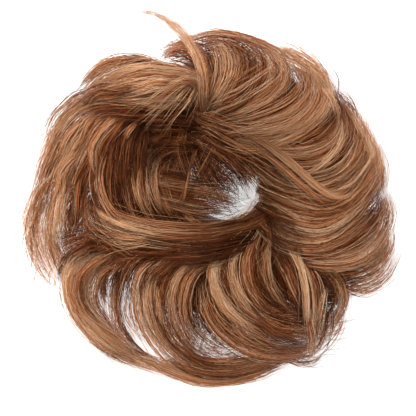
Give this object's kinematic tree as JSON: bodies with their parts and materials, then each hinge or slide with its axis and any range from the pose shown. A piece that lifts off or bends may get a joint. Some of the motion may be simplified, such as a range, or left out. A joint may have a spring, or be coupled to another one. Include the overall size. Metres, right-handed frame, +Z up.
{
  "type": "top knot hairpiece",
  "caption": "Ring of curled, overlapping locks of copper-brown hair sewn round an elastic band, lying flat with its hole open for a bun.",
  "frame": {"origin": "on the surface that the hairpiece lies on, under the middle of its bounding box", "axes": "+Z up from the surface through the hair, +Y towards the stray lock at the back, +X to the right as seen from above"},
  "size_m": [0.1602, 0.1646, 0.049],
  "materials": {
    "hair": "glossy straight and curled fibres, copper brown with blond and dark brown streaks",
    "elastic": "matt braided dark brown elastic"
  },
  "bodies": {
    "root": {"elastic_band": "elastic", "upper_left_swoop": "hair", "inner_left_swirl": "hair", "lower_right_curls": "hair", "right_curls": "hair", "top_curls": "hair", "left_fall": "hair", "bottom_curls": "hair", "lower_left_loops": "hair"}
  },
  "joints": []
}
